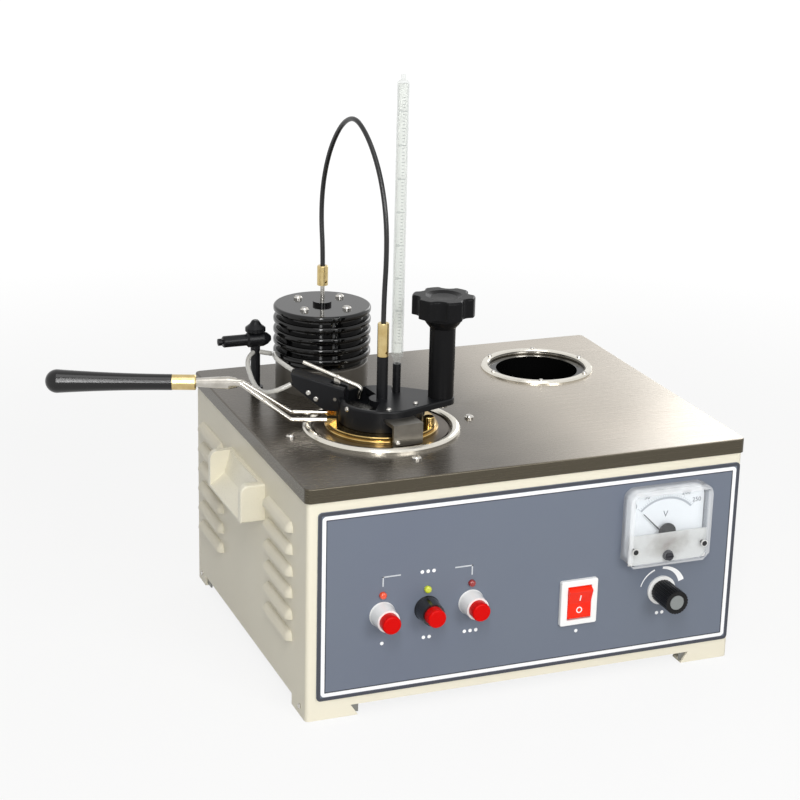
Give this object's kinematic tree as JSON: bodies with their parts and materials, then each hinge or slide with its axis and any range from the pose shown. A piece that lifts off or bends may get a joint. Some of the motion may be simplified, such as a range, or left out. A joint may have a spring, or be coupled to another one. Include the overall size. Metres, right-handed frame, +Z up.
{
  "type": "flash point tester",
  "caption": "Bench flash point tester with a heated cup, a lid with shutter and dipping burner, a stirrer motor, a thermometer, a cooling well and a front control panel.",
  "frame": {"origin": "under the middle of the whole outline, on the bench", "axes": "+X to the user's right along the front panel, +Y to the back, +Z up"},
  "size_m": [0.4696, 0.2846, 0.4106],
  "materials": {
    "bath_iron": "turned dark iron",
    "bezel_white": "gloss white",
    "black_gloss": "gloss black",
    "black_screw": "blackened steel",
    "brass": "turned",
    "button_red": "gloss red",
    "cable_black": "black sheath",
    "case_paint": "satin cream enamel",
    "cup_brass": "turned brass",
    "deck_steel": "brushed stainless",
    "dial_white": "printed white card",
    "fork_steel": "bright steel",
    "handle_plastic": "moulded cream plastic",
    "heater_steel": "heat stained",
    "hose_clear": "pale silicone",
    "inlet_black": "black",
    "jacket_wool": "fibre board",
    "knob_black": "ribbed black",
    "lamp_red": "red lens",
    "lid_black": "black oxide",
    "meter_body": "white plastic",
    "meter_clear": "clear moulded cover",
    "motor_black": "gloss black enamel",
    "motor_paint": "dark grey paint",
    "needle_dark": "matt",
    "pan_steel": "zinc plated sheet",
    "panel_film": "grey printed film with white rules",
    "pot_metal": "plated",
    "ring_steel": "polished",
    "rocker_red": "translucent red",
    "scale_white": "milk glass with a scale",
    "screw_steel": "bright plated",
    "shaft_steel": "ground",
    "stirrer_steel": "stainless",
    "thermo_glass": "clear glass",
    "valve_black": "black oxide",
    "well_enamel": "gloss black enamel"
  },
  "bodies": {
    "case": {"base_pan": "pan_steel", "case_shell": "case_paint", "case_screws": "screw_steel", "top_plate": "deck_steel", "front_panel": "panel_film", "left_handle": "handle_plastic", "right_handle": "handle_plastic", "stove_ring": "ring_steel", "ring_screws": "screw_steel", "air_bath": "bath_iron", "heater_plate": "heater_steel", "insulation_jacket": "jacket_wool", "well_ring": "ring_steel", "well_liner": "well_enamel", "motor_body": "motor_paint", "motor_housing": "motor_black", "motor_screws": "screw_steel", "valve_post": "valve_black", "valve_body": "valve_black", "meter_case": "meter_body", "meter_dial": "dial_white", "meter_cover": "meter_clear", "meter_screws": "black_screw", "switch_bezel": "bezel_white", "control_pot": "pot_metal", "button_bezels": "bezel_white", "indicator_lamps": "lamp_red", "power_inlet": "inlet_black", "gas_hose_upper": "hose_clear", "gas_hose_lower": "hose_clear"},
    "rotor": {"motor_shaft": "shaft_steel", "motor_coupling": "brass"},
    "valve_turner": {"valve_knob": "valve_black"},
    "needle": {"meter_needle": "needle_dark"},
    "zero_setter": {"zero_screw": "black_gloss"},
    "rocker": {"switch_paddle": "rocker_red"},
    "output_knob": {"control_knob": "knob_black"},
    "left_button": {"button_left": "button_red"},
    "middle_button": {"button_middle": "button_red"},
    "right_button": {"button_right": "button_red"},
    "cup_group": {"cup": "cup_brass", "handle_fork": "fork_steel", "handle_ferrule": "brass", "handle_grip": "black_gloss"},
    "lid_group": {"lid": "lid_black", "lid_cover": "lid_black", "burner_block": "lid_black", "clip_plate": "lid_black", "lid_screws": "screw_steel", "stirrer_column": "lid_black", "thermometer_holder": "lid_black", "flexible_shaft": "cable_black"},
    "shutter": {"shutter_plate": "stirrer_steel"},
    "shutter_turner": {"shutter_crank": "stirrer_steel", "shutter_knob": "knob_black"},
    "burner": {"burner_tube": "fork_steel"},
    "stirrer_group": {"stirrer": "stirrer_steel", "stirrer_coupling": "brass"},
    "thermometer": {"thermometer_glass": "thermo_glass", "thermometer_scale": "scale_white"}
  },
  "joints": [
    {"name": "cup_lift", "type": "slide", "parent": "case", "child": "cup_group", "axis": [0, 0, 1], "range_m": [0, 0.07], "deforming": ["gas_hose_upper", "gas_hose_lower"]},
    {"name": "lid_lift", "type": "slide", "parent": "cup_group", "child": "lid_group", "axis": [0, 0, 1], "range_m": [0, 0.065], "deforming": ["gas_hose_upper", "gas_hose_lower"]},
    {"name": "knob_turn", "type": "hinge", "parent": "lid_group", "child": "shutter_turner", "pos_m": [0.02567, -0.02785, 0.1836], "axis": [0, 0, 1], "range_deg": [0, 72], "stiffness_Nm_per_rad": 0.04, "springref_deg": -8.59},
    {"name": "shutter_turn", "type": "hinge", "parent": "lid_group", "child": "shutter", "pos_m": [-0.01534, -0.02025, 0.1796], "axis": [0, 0, 1], "range_deg": [-30.2, 0.2]},
    {"name": "burner_dip", "type": "hinge", "parent": "lid_group", "child": "burner", "pos_m": [-0.04155, -0.0019, 0.1861], "axis": [0.5736, 0.8192, 0], "range_deg": [-0.2, 33.2]},
    {"name": "thermometer_draw", "type": "slide", "parent": "lid_group", "child": "thermometer", "axis": [0, 0, 1], "range_m": [0, 0.1]},
    {"name": "motor_spin", "type": "hinge", "parent": "case", "child": "rotor", "pos_m": [-0.02274, 0.08525, 0.2366], "axis": [0, 0, 1], "continuous": true},
    {"name": "stirrer_spin", "type": "hinge", "parent": "lid_group", "child": "stirrer_group", "pos_m": [-0.01534, -0.02025, 0.2066], "axis": [0, 0, 1], "continuous": true},
    {"name": "valve_turn", "type": "hinge", "parent": "case", "child": "valve_turner", "pos_m": [-0.07324, 0.08725, 0.2116], "axis": [0, 0, 1], "range_deg": [0, 270]},
    {"name": "needle_swing", "type": "hinge", "parent": "case", "child": "needle", "pos_m": [0.15776, -0.12255, 0.103], "axis": [0, 1, 0], "range_deg": [0, 90], "stiffness_Nm_per_rad": 0.001},
    {"name": "zero_turn", "type": "hinge", "parent": "case", "child": "zero_setter", "pos_m": [0.15776, -0.12925, 0.0905], "axis": [0, 1, 0], "range_deg": [-45, 45]},
    {"name": "switch_rock", "type": "hinge", "parent": "case", "child": "rocker", "pos_m": [0.09446, -0.11675, 0.061], "axis": [-1, 0, 0], "range_deg": [0, 14]},
    {"name": "control_turn", "type": "hinge", "parent": "case", "child": "output_knob", "pos_m": [0.15926, -0.13025, 0.0605], "axis": [0, 1, 0], "range_deg": [0, 300]},
    {"name": "left_press", "type": "slide", "parent": "case", "child": "left_button", "axis": [0, 1, 0], "range_m": [0, 0.003], "stiffness_N_per_m": 300},
    {"name": "middle_press", "type": "slide", "parent": "case", "child": "middle_button", "axis": [0, 1, 0], "range_m": [0, 0.003], "stiffness_N_per_m": 300},
    {"name": "right_press", "type": "slide", "parent": "case", "child": "right_button", "axis": [0, 1, 0], "range_m": [0, 0.003], "stiffness_N_per_m": 300}
  ],
  "couplings": [
    {"joint": "shutter_turn", "follows": "knob_turn", "ratio": -0.41667},
    {"joint": "burner_dip", "follows": "knob_turn", "ratio": 0.45833},
    {"joint": "stirrer_spin", "follows": "motor_spin", "ratio": -1}
  ]
}
